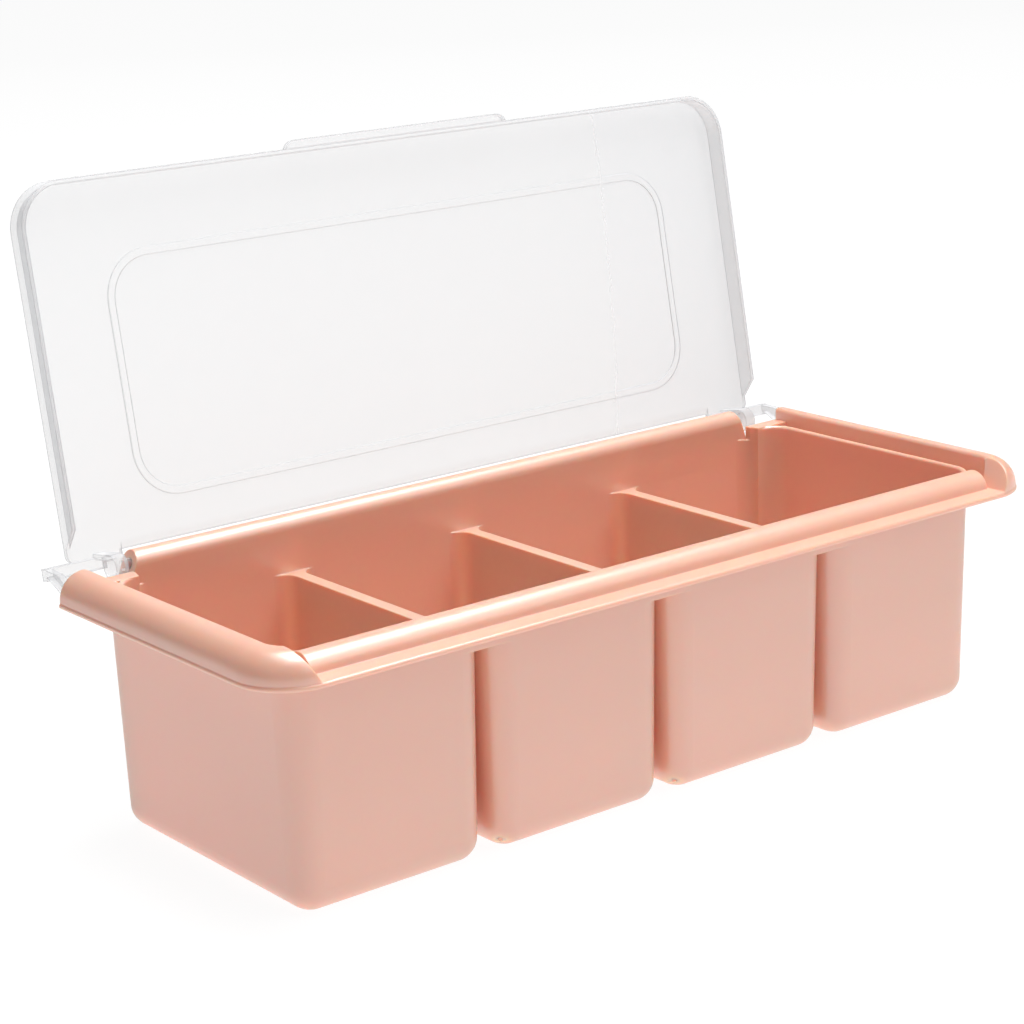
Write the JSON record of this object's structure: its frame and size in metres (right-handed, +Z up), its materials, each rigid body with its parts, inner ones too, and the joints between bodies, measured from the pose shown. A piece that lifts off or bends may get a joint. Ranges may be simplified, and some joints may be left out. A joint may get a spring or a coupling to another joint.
{
  "type": "condiment caddy",
  "caption": "Serving caddy for condiments: a moulded tray of deep bins with rolled side rims and one hinged, see-through lid that stands open on its stop arms.",
  "frame": {"origin": "bottom centre of the box round the open caddy, on the surface that the caddy rests on", "axes": "+X along the row of bins, +Y towards the hinge at the back, +Z up"},
  "size_m": [0.34, 0.1678, 0.2209],
  "materials": {
    "tray": "satin, fine grain",
    "lid": "frosted, translucent"
  },
  "bodies": {
    "tray": {"tray": "tray"},
    "lid": {"lid": "lid"}
  },
  "joints": [
    {"name": "lid_hinge", "type": "hinge", "parent": "tray", "child": "lid", "pos_m": [0, 0.04911, 0.0896], "axis": [1, 0, 0], "range_deg": [0, 100]}
  ]
}
